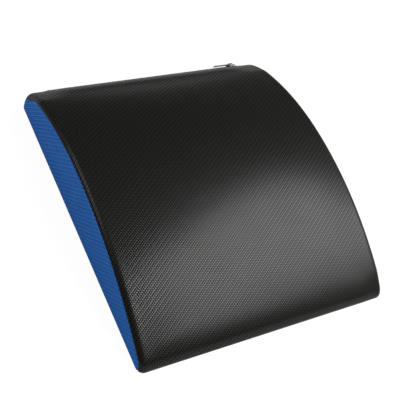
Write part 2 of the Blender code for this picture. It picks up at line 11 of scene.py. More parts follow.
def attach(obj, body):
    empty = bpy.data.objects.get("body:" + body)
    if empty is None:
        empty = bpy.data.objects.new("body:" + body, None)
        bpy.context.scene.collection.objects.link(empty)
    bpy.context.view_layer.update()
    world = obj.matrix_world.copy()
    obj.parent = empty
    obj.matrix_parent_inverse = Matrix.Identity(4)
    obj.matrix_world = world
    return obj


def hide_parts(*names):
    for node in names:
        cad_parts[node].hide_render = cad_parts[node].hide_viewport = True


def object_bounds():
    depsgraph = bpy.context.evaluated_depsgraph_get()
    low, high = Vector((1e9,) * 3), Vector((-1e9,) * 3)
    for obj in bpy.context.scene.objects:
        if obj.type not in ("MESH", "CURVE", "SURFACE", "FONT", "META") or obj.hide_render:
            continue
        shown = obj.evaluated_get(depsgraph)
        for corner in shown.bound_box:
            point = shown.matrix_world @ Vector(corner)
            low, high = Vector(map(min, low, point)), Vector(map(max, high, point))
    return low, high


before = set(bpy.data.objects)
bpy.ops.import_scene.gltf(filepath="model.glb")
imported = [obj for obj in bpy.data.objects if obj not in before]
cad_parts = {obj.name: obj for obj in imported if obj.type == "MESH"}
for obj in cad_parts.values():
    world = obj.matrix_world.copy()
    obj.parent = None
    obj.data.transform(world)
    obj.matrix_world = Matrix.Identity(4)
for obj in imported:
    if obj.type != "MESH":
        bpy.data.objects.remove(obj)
cadLow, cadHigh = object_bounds()
mm = 0.001
quarter = math.pi / 2
scene = bpy.context.scene
print("frame loaded:", len(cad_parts), "nodes")


def linkObject(name, data):
    item = bpy.data.objects.new(name, data)
    scene.collection.objects.link(item)
    return item


def newMesh(name, points=(), faces=()):
    mesh = bpy.data.meshes.new(name)
    mesh.from_pydata(points, [], faces)
    return mesh


# Camera, at the photograph's angle
photoView = {
    "azimuth": -45.93,
    "elevation": 49.52,
    "roll": 25.8,  # the picture leans
    "distance": 0.9584,
    "aim": (0.5 * mm, 0.4 * mm, 0),
    "lens": 71.72,
}


def makeCamera(view):
    data = bpy.data.cameras.new("photoCamera")
    data.lens = view["lens"]
    camera = linkObject("photoCamera", data)
    upright = Euler((math.radians(90 - view["elevation"]), 0, math.radians(view["azimuth"])))
    upright = upright.to_quaternion()
    camera.location = Vector(view["aim"]) + upright @ Vector((0, 0, view["distance"]))
    camera.rotation_mode = "QUATERNION"
    camera.rotation_quaternion = upright @ Quaternion((0, 0, 1), math.radians(view["roll"]))
    scene.camera = camera


makeCamera(photoView)


# Node helpers, for shaders and for Geometry Nodes alike
def signFor(operation, turned=False):
    def sign(self, other):
        return calc(operation, other, self) if turned else calc(operation, self, other)
    return sign


class Flow:
    # A node's output to write sums with: each sign puts a Math node in its tree
    def __init__(self, socket):
        self.socket = socket

    __add__, __radd__ = signFor("ADD"), signFor("ADD", True)
    __sub__, __rsub__ = signFor("SUBTRACT"), signFor("SUBTRACT", True)
    __mul__, __rmul__ = signFor("MULTIPLY"), signFor("MULTIPLY", True)
    __truediv__, __rtruediv__ = signFor("DIVIDE"), signFor("DIVIDE", True)


def treeOf(*values):
    return next(value.socket.id_data for value in values if isinstance(value, Flow))


def feed(node, inputs):
    for key, value in inputs.items():
        socket = node.inputs[key]
        if isinstance(value, Flow):
            socket.id_data.links.new(value.socket, socket)
        else:
            socket.default_value = value


def put(tree, kind, inputs=None, **settings):
    made = tree.nodes.new(kind)
    for name, value in settings.items():
        setattr(made, name, value)
    feed(made, inputs or {})
    outputs = {}
    for i, socket in enumerate(made.outputs):
        outputs[i] = Flow(socket)
        outputs.setdefault(socket.name, outputs[i])
    return outputs


def calc(operation, *values, kind="ShaderNodeMath"):
    return put(treeOf(*values), kind, dict(enumerate(values)), operation=operation)[0]


def combine(x, y, z):
    return put(treeOf(x, y, z), "ShaderNodeCombineXYZ", {0: x, 1: y, 2: z})[0]


def separate(vector):
    parts = put(treeOf(vector), "ShaderNodeSeparateXYZ", {0: vector})
    return parts[0], parts[1], parts[2]


def easeStep(value, low, high):
    inputs = {"Value": value, "From Min": low, "From Max": high}
    return put(treeOf(value), "ShaderNodeMapRange", inputs, interpolation_type="SMOOTHSTEP")["Result"]


def mixed(factor, low, high):
    return put(treeOf(factor), "ShaderNodeMix", {"Factor": factor, "A": low, "B": high})[0]


def noise(place, size, detail, roughness=0.5):
    inputs = {"Vector": place, "Scale": 1 / size, "Detail": detail, "Roughness": roughness}
    return put(treeOf(place), "ShaderNodeTexNoise", inputs)["Fac"]


def newGroup(name, kind, inputs, outputs):
    # An input is given by its default, or by the kind of its socket
    tree = bpy.data.node_groups.new(name, kind)
    for label, value in inputs.items():
        data = {int: "Int", float: "Float"}.get(type(value), value)
        socket = tree.interface.new_socket(label, in_out="INPUT", socket_type="NodeSocket" + data)
        if data != value:
            socket.default_value = value
    for label, data in outputs.items():
        tree.interface.new_socket(label, in_out="OUTPUT", socket_type="NodeSocket" + data)
    given = {socket.name: Flow(socket) for socket in tree.nodes.new("NodeGroupInput").outputs}
    return tree, given, tree.nodes.new("NodeGroupOutput")


def shaderGroup(name, inputs, *outputs):
    inputs = {"Place": "Vector", **inputs}
    return newGroup(name, "ShaderNodeTree", inputs, dict.fromkeys(outputs, "Float"))


def growthGroup(name, inputs):
    ends = {"Geometry": "Geometry"}
    return newGroup(name, "GeometryNodeTree", {**ends, **inputs, "Finish": "Material"}, ends)


def endGrowth(geometry, given, result):
    tree = treeOf(geometry)
    real = put(tree, "GeometryNodeRealizeInstances", {"Geometry": geometry})[0]
    coat = put(tree, "GeometryNodeSetMaterial", {"Geometry": real, "Material": given["Finish"]})[0]
    feed(result, {"Geometry": coat})
    return tree


# Shader groups
def dip(part):
    # 0 in the middle of a cell, 1 at its edges
    off = calc("MULTIPLY_ADD", part, 2, -1)
    return off * off


emboss = {
    "sizes": {"Cell across": 1.87 * mm, "Cell along": 1.4 * mm, "Rib": 0.5},
    "repeat": 4,  # cells, two over and two under
    "groove": (0.2, 0.46),  # away from the middle of a rib
    "polished": (0.3, 0.95),  # of a float's height
}


def makeTwill():
    # 2/2 twill of raised floats, two cells long, in diagonal ribs with a groove between
    tree, given, result = shaderGroup("embossedTwill", emboss["sizes"], "Height", "Float mask")
    across, along, _ = separate(given["Place"])
    across = across / given["Cell across"]
    along = along / given["Cell along"]
    cell = calc("FLOOR", across) - calc("FLOOR", along)
    phase = calc("FLOORED_MODULO", cell, emboss["repeat"])
    acrossPart = calc("FRACT", across)
    alongPart = calc("FRACT", along)
    isWarp = calc("LESS_THAN", phase, 1.5)  # phases 0 and 1
    warpRun = (alongPart + 1 - phase) / 2
    weftRun = (acrossPart + phase - 2) / 2
    sideRound = 1 - dip(mixed(isWarp, alongPart, acrossPart))
    runRound = 1 - dip(mixed(isWarp, weftRun, warpRun))
    tow = sideRound * runRound
    diagonal = calc("FRACT", (across - along) / emboss["repeat"])
    groove = easeStep(calc("ABSOLUTE", diagonal - 0.5), *emboss["groove"]) * given["Rib"]
    kept = 1 - groove
    polished = easeStep(tow, *emboss["polished"]) * kept
    feed(result, {"Height": tow * kept, "Float mask": polished})
    return tree


def makeGrain():
    # Fine grain and broad unevenness of a calendered sheet
    sizes = {"Grain size": 0.25 * mm, "Patch size": 40 * mm}
    tree, given, result = shaderGroup("sheetGrain", sizes, "Height", "Patches")
    fine = noise(given["Place"], given["Grain size"], detail=2.0, roughness=0.6)
    broad = noise(given["Place"], given["Patch size"], detail=3.0)
    feed(result, {"Height": fine, "Patches": broad})
    return tree


def makeWeave():
    # Plain weave: over-and-under threads. The thread mask, 1 on each thread's crown and 0 where it turns
    # under, carries painted shade into the cloth's colour
    tree, given, result = shaderGroup("plainWeave", {"Thread": 0.5 * mm}, "Height", "Thread mask")
    sunkShare = 0.45
    across, along, _ = separate(given["Place"])
    across = across / given["Thread"]
    along = along / given["Thread"]
    odd = calc("FLOORED_MODULO", calc("FLOOR", across) + calc("FLOOR", along), 2)
    acrossDip = dip(calc("FRACT", across))
    alongDip = dip(calc("FRACT", along))
    rounded = 1 - mixed(odd, acrossDip, alongDip)
    sunk = calc("MULTIPLY_ADD", mixed(odd, alongDip, acrossDip), -sunkShare, 1)
    feed(result, {"Height": rounded * sunk, "Thread mask": rounded})
    return tree


def makeCells():
    # Open cells of cut foam, with painted shade darkest in their middles
    tree, given, result = shaderGroup("foamCells", {"Cell size": 0.8 * mm}, "Height", "Shade")
    inputs = {"Vector": given["Place"], "Scale": 1 / given["Cell size"]}
    distance = put(tree, "ShaderNodeTexVoronoi", inputs)["Distance"]
    feed(result, {"Height": distance, "Shade": easeStep(distance, low=0.0, high=0.7)})
    return tree


groups = {"twill": makeTwill(), "grain": makeGrain(), "weave": makeWeave(), "cells": makeCells()}


# Materials
def newFinish(name, colour, roughness, metallic=0.0):
    finish = bpy.data.materials.new(name)
    finish.use_nodes = True
    shader = finish.node_tree.nodes["Principled BSDF"]
    feed(shader, {"Base Color": (*colour, 1), "Roughness": roughness, "Metallic": metallic})
    return finish, finish.node_tree, shader


def groupNode(tree, name, inputs):
    return put(tree, "ShaderNodeGroup", inputs, node_tree=groups[name])


def clothPlace(tree):
    return put(tree, "ShaderNodeAttribute", attribute_name="cloth")["Vector"]


def objectPlace(tree):
    return put(tree, "ShaderNodeTexCoord")["Object"]


def shade(factor, low, high):
    inputs = {"Factor": factor, 6: (*low, 1), 7: (*high, 1)}
    return put(treeOf(factor), "ShaderNodeMix", inputs, data_type="RGBA")[2]


def bump(height, distance, below=None):
    inputs = {"Height": height, "Distance": distance, "Strength": 1.0}
    if below is not None:
        inputs["Normal"] = below
    return put(treeOf(height), "ShaderNodeBump", inputs)["Normal"]


def dress(shader, look, marks, height):
    # Colour from the darker colour at low marks to lit at high ones, and relief; where the marks follow the
    # relief, the darker colour is painted shade in its low parts
    colour = shade(marks, look["hollowShade"], look["lit"])
    feed(shader, {"Base Color": colour, "Normal": bump(height, look["depth"])})


def roughen(shader, look, marks):
    rough = calc("MULTIPLY_ADD", marks, look["markRough"], look["leastRough"])
    feed(shader, {"Roughness": rough})


vinylLook = {
    "embossDepth": 0.2 * mm,
    "gapRough": 0.87,
    "grainDepth": 0.008 * mm,
    "patchRough": 0.12,
    "patchGloss": 0.2,
    "rough": 0.45,
    # In each colour pair the darker one is painted shade for the emboss's grooves, lit is the colour of the
    # raised floats
    "black": {
        "hollowShade": (0.0005, 0.0005, 0.0004),
        "lit": (0.006, 0.006, 0.0045),
        "specular": 0.1,
        "gloss": 1.0,
        "glossRough": 0.3,
    },
    "blue": {
        "hollowShade": (0.008, 0.064, 0.265),
        "lit": (0.03, 0.182, 0.57),
        "specular": 0.07,
        "gloss": 0.2,
        "glossRough": 0.4,
    },
}


def makeVinyl(name, look):
    # The raised floats are polished, the gaps between them stay dull. The base colour darkens with the
    # emboss's height: painted shade in the grooves and at the floats' edges
    finish, tree, shader = newFinish(name, look["lit"], vinylLook["rough"])
    place = clothPlace(tree)
    twill = groupNode(tree, "twill", {"Place": place})
    grain = groupNode(tree, "grain", {"Place": place})
    dull = calc("MULTIPLY_ADD", grain["Patches"], vinylLook["patchRough"], vinylLook["gapRough"])
    polish = vinylLook["rough"] - vinylLook["gapRough"]
    uneven = calc("MULTIPLY_ADD", grain["Patches"], -vinylLook["patchGloss"], look["gloss"])
    fine = bump(grain["Height"], vinylLook["grainDepth"])
    inputs = {
        "Specular IOR Level": look["specular"],
        "Coat Roughness": look["glossRough"],
        # Painted shade: a darker base colour where the emboss is low
        "Base Color": shade(twill["Height"], look["hollowShade"], look["lit"]),
        "Roughness": calc("MULTIPLY_ADD", twill["Float mask"], polish, dull),
        "Coat Weight": twill["Float mask"] * uneven,
        "Normal": bump(twill["Height"], vinylLook["embossDepth"], fine),
    }
    feed(shader, inputs)
    return finish


clothLook = {
    # The darker colour of each cloth is painted shade where its threads turn under
    "baseCloth": {
        "hollowShade": (0.006, 0.006, 0.007),
        "lit": (0.04, 0.04, 0.043),
        "rough": 0.8,
        "thread": 0.8 * mm,
        "depth": 0.2 * mm,
    },
    "zipTape": {
        "hollowShade": (0.006, 0.006, 0.007),
        "lit": (0.02, 0.02, 0.022),
        "rough": 0.85,
        "thread": 0.7 * mm,
        "depth": 0.12 * mm,
    },
}


def makeWovenCloth(name):
    look = clothLook[name]
    finish, tree, shader = newFinish(name, look["lit"], look["rough"])
    weave = groupNode(tree, "weave", {"Place": clothPlace(tree), "Thread": look["thread"]})
    # Painted shade where the threads turn under, from the thread mask
    dress(shader, look, weave["Thread mask"], weave["Height"])
    return finish


threadLook = {
    "colour": (0.012, 0.012, 0.013),
    # Darker colour: random tone and painted shade in the plies' low parts
    "hollowShade": (0.006, 0.006, 0.007),
    "lit": (0.022, 0.022, 0.024),
    "rough": 0.65,
    "size": 0.35 * mm,
    "detail": 2.0,
    "depth": 0.05 * mm,
}
metalLook = {
    "colour": (0.04, 0.04, 0.042),
    # Darker colour: random tone and painted shade in the scratches' low parts
    "hollowShade": (0.025, 0.025, 0.026),
    "lit": (0.055, 0.055, 0.057),
    "rough": 0.36,
    "leastRough": 0.3,
    "markRough": 0.22,
    "size": 0.4 * mm,
    "detail": 4.0,
    "depth": 0.01 * mm,
}


def makeMarked(name, look, metallic=0.0):
    # Plies of a thread, or fine scratches: a random tone from noise that is also the relief, so the darker
    # colour is painted shade in the relief's low parts as well
    finish, tree, shader = newFinish(name, look["colour"], look["rough"], metallic)
    marks = noise(objectPlace(tree), look["size"], look["detail"])
    # Random tone and painted shade from the same noise
    dress(shader, look, marks, marks)
    if "markRough" in look:
        roughen(shader, look, marks)
    return finish


nylonLook = {
    "colour": (0.018, 0.018, 0.02),
    "rough": 0.32,
    "leastRough": 0.24,
    "markRough": 0.2,
    "patchSize": 6 * mm,
}


def makeNylon():
    finish, tree, shader = newFinish("zipNylon", nylonLook["colour"], nylonLook["rough"])
    inputs = {"Place": objectPlace(tree), "Patch size": nylonLook["patchSize"]}
    roughen(shader, nylonLook, groupNode(tree, "grain", inputs)["Patches"])
    return finish


foamLook = {
    "colour": (0.12, 0.12, 0.13),
    # The darker colour is painted shade in the cells' pits
    "hollowShade": (0.05, 0.05, 0.055),
    "lit": (0.16, 0.16, 0.17),
    "rough": 0.9,
    "depth": 0.3 * mm,
}


def makeFoam():
    finish, tree, shader = newFinish("cutFoam", foamLook["colour"], foamLook["rough"])
    cells = groupNode(tree, "cells", {"Place": objectPlace(tree)})
    # Painted shade in the cells' pits
    dress(shader, foamLook, cells["Shade"], cells["Height"])
    return finish


finishes = {
    "blackVinyl": makeVinyl("blackVinyl", vinylLook["black"]),
    "blueVinyl": makeVinyl("blueVinyl", vinylLook["blue"]),
    "baseCloth": makeWovenCloth("baseCloth"),
    "zipTape": makeWovenCloth("zipTape"),
    "thread": makeMarked("sewingThread", threadLook),
    "plated": makeMarked("platedMetal", metalLook, metallic=1.0),
    "nylon": makeNylon(),
    "foam": makeFoam(),
}
print("materials ready:", len(finishes))


# The arch that every skin follows, from the toe's base seam over the crest to the heel's
arch = {
    "halfWidth": 161 * mm,  # to the side seams' plane
    "crestFromToe": 214 * mm,
    "crown": 8 * mm,
    "crownEase": 1.5,
    "toeMeets": 12.5 * mm,  # height at which the front arc would meet the toe
    "heelMeets": 31 * mm,
    "toeRadius": 16 * mm,
    "heelRadius": 42 * mm,
    "edgeRadius": 8.5 * mm,
    "baseRound": 3 * mm,
    "sideSeamDepth": 5 * mm,
    "seamDip": 3.3 * mm,
    "dipFromZip": 13 * mm,
    "dipReach": 26 * mm,
    "baseSeamInset": 5 * mm,
    "zipRise": 24 * mm,
    "zipEase": 16.5 * mm,  # the crown ends this far before the zip
    "lineStep": 1 * mm,
}
length = cadHigh.y - cadLow.y
sideCrest = cadHigh.z - arch["crown"]
toeY = cadLow.y
heelY = cadHigh.y
crestY = toeY + arch["crestFromToe"]
flatHalf = arch["halfWidth"] - arch["edgeRadius"]


def arcPoints(centre, radius, first, last):
    steps = math.ceil(radius * abs(last - first) / arch["lineStep"])
    angles = [first + (last - first) * step / steps for step in range(steps)]
    return [(centre[0] + radius * math.cos(a), centre[1] + radius * math.sin(a)) for a in angles]


def bigRadius(run, rise):
    return (run * run + rise * rise) / (2 * rise)


def cornerHeight(big, small, run):
    return sideCrest - big + math.sqrt((big - small) ** 2 - (run - small) ** 2)


def sideLinePoints():
    # The places, and at which of them each arc ends
    rearRun = length - arch["crestFromToe"]
    front = bigRadius(arch["crestFromToe"], sideCrest - arch["toeMeets"])
    rear = bigRadius(rearRun, sideCrest - arch["heelMeets"])
    toeRadius, heelRadius, base = arch["toeRadius"], arch["heelRadius"], arch["baseRound"]
    toe = (toeY + toeRadius, cornerHeight(front, toeRadius, arch["crestFromToe"]))
    heel = (heelY - heelRadius, cornerHeight(rear, heelRadius, rearRun))
    frontCentre = (crestY, sideCrest - front)
    rearCentre = (crestY, sideCrest - rear)
    toeTop = math.atan2(toe[1] - frontCentre[1], toe[0] - frontCentre[0])
    heelTop = math.atan2(heel[1] - rearCentre[1], heel[0] - rearCentre[0])
    arcs = {
        "toeWall": ((toeY + base, base), base, 3 * quarter, 2 * quarter),
        "nose": (toe, toeRadius, math.pi, toeTop),
        "crest": (frontCentre, front, toeTop, quarter),
        "heel": (rearCentre, rear, quarter, heelTop),
        "baseRound": (heel, heelRadius, heelTop, 0),
    }
    points = [(toeY + arch["baseSeamInset"], 0)]
    marks = {}
    for name, arc in arcs.items():
        points += arcPoints(*arc)
        marks[name] = len(points)
    points += arcPoints((heelY - base, base), base, 0, -quarter)
    points += [(heelY - base, 0), (heelY - arch["baseSeamInset"], 0)]
    return points, marks


def lengthsAlong(points):
    lengths = [0.0]
    for near, far in zip(points, points[1:]):
        lengths.append(lengths[-1] + math.dist(near, far))
    return lengths


linePoints, lineMarks = sideLinePoints()
lineTravel = lengthsAlong(linePoints)
travel = {name: lineTravel[index] for name, index in lineMarks.items()}
travel["end"] = lineTravel[-1]
travel["zip"] = travel["baseRound"] - arch["zipRise"]
print("side line:", {name: round(value, 4) for name, value in travel.items()})


def ramp(value, low, high):
    share = min(max((value - low) / (high - low), 0), 1)
    return share * share * (3 - 2 * share)


def blend(first, last, share):
    return first + (last - first) * share


def spread(first, last, step):
    count = max(1, round(abs(last - first) / step))
    return [blend(first, last, i / count) for i in range(count + 1)]


def quarterTurn(steps):
    return [quarter * i / steps for i in range(1, steps + 1)]


def seamDepthAt(along):
    # The side seam runs deeper where it turns round the heel's top corner
    away = abs(along - travel["zip"] + arch["dipFromZip"])
    return arch["sideSeamDepth"] + arch["seamDip"] * (1 - ramp(away, 0, arch["dipReach"]))


def reachAtDepth(depth):
    # Across the flat cloth, from the middle to this depth below the top
    radius = arch["edgeRadius"]
    if depth > radius:
        return flatHalf + radius * quarter + depth - radius
    return flatHalf + radius * math.acos(1 - depth / radius)


seamReach = reachAtDepth(arch["sideSeamDepth"])


def makeSideLine():
    data = bpy.data.curves.new("sideLine", "CURVE")
    data.dimensions = "3D"
    spline = data.splines.new("POLY")
    spline.points.add(len(linePoints) - 1)
    for spot, (y, z) in zip(spline.points, linePoints):
        spot.co = (0, y, z, 1)
    return linkObject("sideLine", data)


def makeWrapTree():
    # Bends a flat pattern over the side line and rolls its side edges down
    sizes = {
        "Flat half": flatHalf,
        "Edge radius": arch["edgeRadius"],
        "Base round": arch["baseRound"],
        "Half length": length / 2,
        "Crown": arch["crown"],
        "Crown start": travel["nose"],
        "Crest": travel["crest"],
        "Crown end": travel["zip"] - arch["zipEase"],
        "Crown ease": arch["crownEase"],
    }
    tree, given, result = growthGroup("wrapOverArch", {"Side line": "Object", **sizes})
    flat = put(tree, "GeometryNodeInputPosition")[0]
    across, along, _ = separate(flat)
    line = put(tree, "GeometryNodeObjectInfo", {"Object": given["Side line"]})["Geometry"]
    places = {"Curves": line, "Length": along}
    sample = put(tree, "GeometryNodeSampleCurve", places, mode="LENGTH", use_all_curves=True)
    vectors = "ShaderNodeVectorMath"
    facing = calc("CROSS_PRODUCT", (1, 0, 0), sample["Tangent"], kind=vectors)
    _, facingY, facingZ = separate(calc("NORMALIZE", facing, kind=vectors))
    _, spotY, spotZ = separate(sample["Position"])

    # Round the base edge the drop runs level, and the side edge's radius shrinks
    justBelow = 0.999
    under = calc("LESS_THAN", spotZ, given["Base round"] * justBelow)
    over = 1 - under
    outwardY = facingY * over + calc("SIGN", spotY) * under
    outwardZ = facingZ * over
    inset = (given["Half length"] - calc("ABSOLUTE", spotY)) * under
    radius = given["Edge radius"] - inset

    # The roll over the side edge
    side = calc("SIGN", across)
    reach = calc("ABSOLUTE", across)
    turned = calc("MAXIMUM", reach - given["Flat half"], 0) / given["Edge radius"]
    angle = calc("MINIMUM", turned, quarter)
    straight = (turned - angle) * given["Edge radius"]
    sine = calc("SINE", angle)
    cosine = calc("COSINE", angle)
    level = calc("MINIMUM", reach, given["Flat half"])
    x = side * calc("MULTIPLY_ADD", radius, sine, level)
    drop = calc("MULTIPLY_ADD", radius, 1 - cosine, straight)

    # The crown in the middle
    rising = (along - given["Crown start"]) / (given["Crest"] - given["Crown start"])
    falling = (given["Crown end"] - along) / (given["Crown end"] - given["Crest"])
    share = calc("MINIMUM", calc("MAXIMUM", calc("MINIMUM", rising, falling), 0), 1)
    eased = calc("POWER", calc("SINE", share * quarter), given["Crown ease"])
    middle = level / given["Flat half"]
    lift = given["Crown"] * (eased * (1 - middle * middle))
    place = combine(x, spotY - outwardY * drop, spotZ - outwardZ * drop + lift)
    out = combine(side * sine, facingY * cosine, facingZ * cosine)

    geometry = given["Geometry"]
    for name, value in (("cloth", flat), ("out", out)):
        inputs = {"Geometry": geometry, "Name": name, "Value": value}
        geometry = put(tree, "GeometryNodeStoreNamedAttribute", inputs, data_type="FLOAT_VECTOR")[0]
    moved = put(tree, "GeometryNodeSetPosition", {"Geometry": geometry, "Position": place})[0]
    return endGrowth(moved, given, result)


def evaluatedMesh(item, **settings):
    graph = bpy.context.evaluated_depsgraph_get()
    return bpy.data.meshes.new_from_object(item.evaluated_get(graph), depsgraph=graph, **settings)


def growMesh(name, source, tree, values):
    # Runs a Geometry Nodes tree on a mesh and keeps the result as a plain mesh
    item = linkObject(name + "Source", source)
    growth = item.modifiers.new("growth", "NODES")
    growth.node_group = tree
    sockets = {s.name: s.identifier for s in tree.interface.items_tree if s.in_out == "INPUT"}
    for label, value in values.items():
        growth[sockets[label]] = value
    mesh = evaluatedMesh(item, preserve_all_data_layers=True)
    bpy.data.objects.remove(item, do_unlink=True)
    mesh.name = name
    return mesh


wrapTree = makeWrapTree()
sideLine = makeSideLine()


def wrapped(name, points, faces, finish):
    flat = newMesh(name + "Flat", [(u, v, 0) for u, v in points], faces)
    return growMesh(name, flat, wrapTree, {"Side line": sideLine, "Finish": finish})


def vectorsOf(items, name):
    values = np.zeros(len(items) * 3)
    items.foreach_get(name, values)
    return values.reshape(-1, 3)


def pointsOf(mesh):
    return vectorsOf(mesh.vertices, "co")


def normalsOf(mesh):
    return vectorsOf(mesh.vertices, "normal")


def outsOf(mesh):
    return vectorsOf(mesh.attributes["out"].data, "vector")


def setPoints(mesh, points):
    mesh.vertices.foreach_set("co", np.asarray(points, np.float32).ravel())
    mesh.update()


def addLayer(mesh, label, values):
    layer = mesh.attributes.new(label, "FLOAT_VECTOR", "POINT")
    for spot, value in zip(layer.data, values):
        spot.vector = value


def wrappedSpots(places):
    mesh = wrapped("spots", places, [], finishes["thread"])
    return pointsOf(mesh), outsOf(mesh)


def standFor(piece, body, node):
    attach(piece, body)
    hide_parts(node)


def addPiece(mesh, body, node, thickness=0):
    mesh.shade_smooth()
    piece = linkObject(mesh.name, mesh)
    if thickness:
        wall = piece.modifiers.new("sheet", "SOLIDIFY")
        wall.thickness = thickness
        wall.offset = -1
    standFor(piece, body, node)
    return piece


# Seams and the zip's opening
seam = {
    "lipRadius": 1.0 * mm,
    "lipDepth": 0.35 * mm,  # straight part below the lip's round
    "lipSteps": 4,
    "halfGap": 0.3 * mm,
    "skin": 0.75 * mm,
}
opening = {
    "endMargin": 26 * mm,  # side seams' plane to the opening's end
    "width": 11 * mm,
    "corner": 2.75 * mm,
    "cornerSteps": 6,
    "outerCorner": 1.5 * mm,
    "outerSteps": 4,
    "bend": 12 * mm,  # beyond the corner, where the columns crowd
    "ease": 34 * mm,  # the pattern's columns straighten out over this length
}
grid = {
    "step": 3 * mm,
    "roundStep": 1.8 * mm,
    "cornerStep": 0.7 * mm,
    "easeRows": 18,
    "heelRows": 14,
    "rollSteps": 6,
}
edgeIn = seam["lipRadius"] + seam["halfGap"]
halfZip = arch["halfWidth"] - opening["endMargin"]


def openingBorder():
    # Half of the edge beside the zip, from the middle outwards: across, and away from the zip
    lip = seam["lipRadius"]
    half = opening["width"] / 2
    corner = opening["corner"]
    outer = opening["outerCorner"]
    run = [(x, half + lip) for x in spread(0, halfZip - corner, grid["step"])]
    for a in quarterTurn(opening["cornerSteps"]):
        x = halfZip - corner + (corner + lip) * math.sin(a)
        run.append((x, half - corner + (corner + lip) * math.cos(a)))
    side = halfZip + lip
    run += [(side, e) for e in spread(half - corner, edgeIn + outer, grid["cornerStep"])[1:]]
    for a in quarterTurn(opening["outerSteps"]):
        run.append((side + outer * (1 - math.cos(a)), edgeIn + outer * (1 - math.sin(a))))
    end = seamReach - edgeIn
    run += [(x, edgeIn) for x in spread(side + outer, flatHalf, grid["step"])[1:]]
    run += [(x, edgeIn) for x in spread(flatHalf, end, (end - flatHalf) / grid["rollSteps"])[1:]]
    return run


def easedColumns(border):
    # Even places for the same columns, where the pattern is away from the opening
    bend = opening["corner"] + opening["bend"]
    lengths = lengthsAlong(border)
    inside = [i for i, (x, _) in enumerate(border) if halfZip - bend <= x <= halfZip + bend]
    first, last = inside[0], inside[-1]
    even = [x for x, _ in border]
    ends = (lengths[first], lengths[last])
    even[first:last] = np.interp(lengths[first:last], ends, (even[first], even[last])).tolist()
    return even


def mirroredColumns():
    border = openingBorder()
    right = [(x, away, even) for (x, away), even in zip(border, easedColumns(border))]
    left = [(-x, away, -even) for x, away, even in reversed(right[1:])]
    return left + right


def gridFaces(rows, columns):
    faces = []
    for r in range(rows - 1):
        for c in range(columns - 1):
            at = r * columns + c
            faces.append((at, at + 1, at + columns + 1, at + columns))
    return faces


zipColumns = mirroredColumns()


def easedRow(share, plain, direction):
    # From the plain row, 0, to the edge beside the zip, 1
    spots = []
    for across, away, even in zipColumns:
        v = blend(plain, travel["zip"] + direction * away, share)
        spots.append((blend(even, across, ramp(share, 0, 1)), v))
    return spots


def patternOf(rows):
    # Moves the rolled-down columns so that the last one stays beside the seam
    spots = []
    for u, v in (spot for row in rows for spot in row):
        past = abs(u) - flatHalf
        if past > 0:
            reach = reachAtDepth(seamDepthAt(v))
            wide = (reach - edgeIn - flatHalf) / (seamReach - edgeIn - flatHalf)
            u = math.copysign(flatHalf + past * wide, u)
        spots.append((u, v))
    return spots, gridFaces(len(rows), len(rows[0]))


def topPattern():
    straightEnd = travel["zip"] - opening["ease"]
    places = spread(edgeIn, travel["nose"], grid["roundStep"])
    places += spread(travel["nose"], straightEnd, grid["step"])[1:]
    rows = [[(even, v) for _, _, even in zipColumns] for v in places]
    steps = grid["easeRows"]
    rows += [easedRow(i / steps, straightEnd, -1) for i in range(1, steps + 1)]
    return patternOf(rows)


def heelPattern():
    steps = grid["heelRows"]
    last = travel["end"] - edgeIn
    return patternOf([easedRow(1 - i / steps, last, 1) for i in range(steps + 1)])


topMesh = wrapped("topSkin", *topPattern(), finishes["blackVinyl"])
heelMesh = wrapped("heelSkin", *heelPattern(), finishes["blackVinyl"])
print("cover cut and wrapped:", len(topMesh.polygons), "and", len(heelMesh.polygons), "faces")


# Side panels: from the base seam, round the base edge and up to the side seam
sidePanel = {
    "uprightRows": 20,
    "roundSteps": 4,
    "endRise": 0.8 * mm,  # the shortest upright, at the toe and at the heel
    "clothTurn": math.radians(9.7),  # the cloth is cut a little off its grain
}


def sideMesh(name, side):
    radius = arch["edgeRadius"]
    base = arch["baseRound"]
    first = travel["toeWall"] + sidePanel["endRise"]
    last = travel["baseRound"] - sidePanel["endRise"]
    stations = spread(first, travel["nose"], grid["roundStep"])
    stations += spread(travel["nose"], travel["heel"], grid["step"])[1:]
    stations += spread(travel["heel"], last, grid["roundStep"])[1:]
    tops, _ = wrappedSpots([(side * reachAtDepth(seamDepthAt(v) + edgeIn), v) for v in stations])
    foot = [(arch["baseSeamInset"] - edgeIn, 0.0)]
    for a in (*quarterTurn(sidePanel["roundSteps"])[::-1], 0):
        foot.append((base * (1 - math.cos(a)), base * (1 - math.sin(a))))
    points = []
    for top in tops:
        outwards = math.copysign(1, top[1])
        fromEnd = length / 2 - abs(top[1])
        turn = math.asin(min(max((radius - fromEnd) / radius, 0), 1))
        column = []
        for setIn, z in foot:
            x = arch["halfWidth"] - radius * (1 - math.cos(turn)) - setIn * math.cos(turn)
            column.append((side * x, top[1] - outwards * setIn * math.sin(turn), z))
        low = column[-1]
        for i in range(1, sidePanel["uprightRows"] + 1):
            share = i / sidePanel["uprightRows"]
            column.append(tuple(blend(start, end, share) for start, end in zip(low, top)))
        points += column
    faces = gridFaces(len(stations), len(column))
    if side > 0:
        faces = [face[::-1] for face in faces]
    mesh = newMesh(name, points, faces)
    lay = Matrix.Rotation(side * sidePanel["clothTurn"], 2)
    addLayer(mesh, "cloth", [(*(lay @ Vector((side * y, z))), 0) for _, y, z in points])
    mesh.materials.append(finishes["blueVinyl"])
    return mesh


leftMesh = sideMesh("leftSideSkin", -1)
rightMesh = sideMesh("rightSideSkin", 1)
print("side panels made:", len(leftMesh.polygons), "faces each")


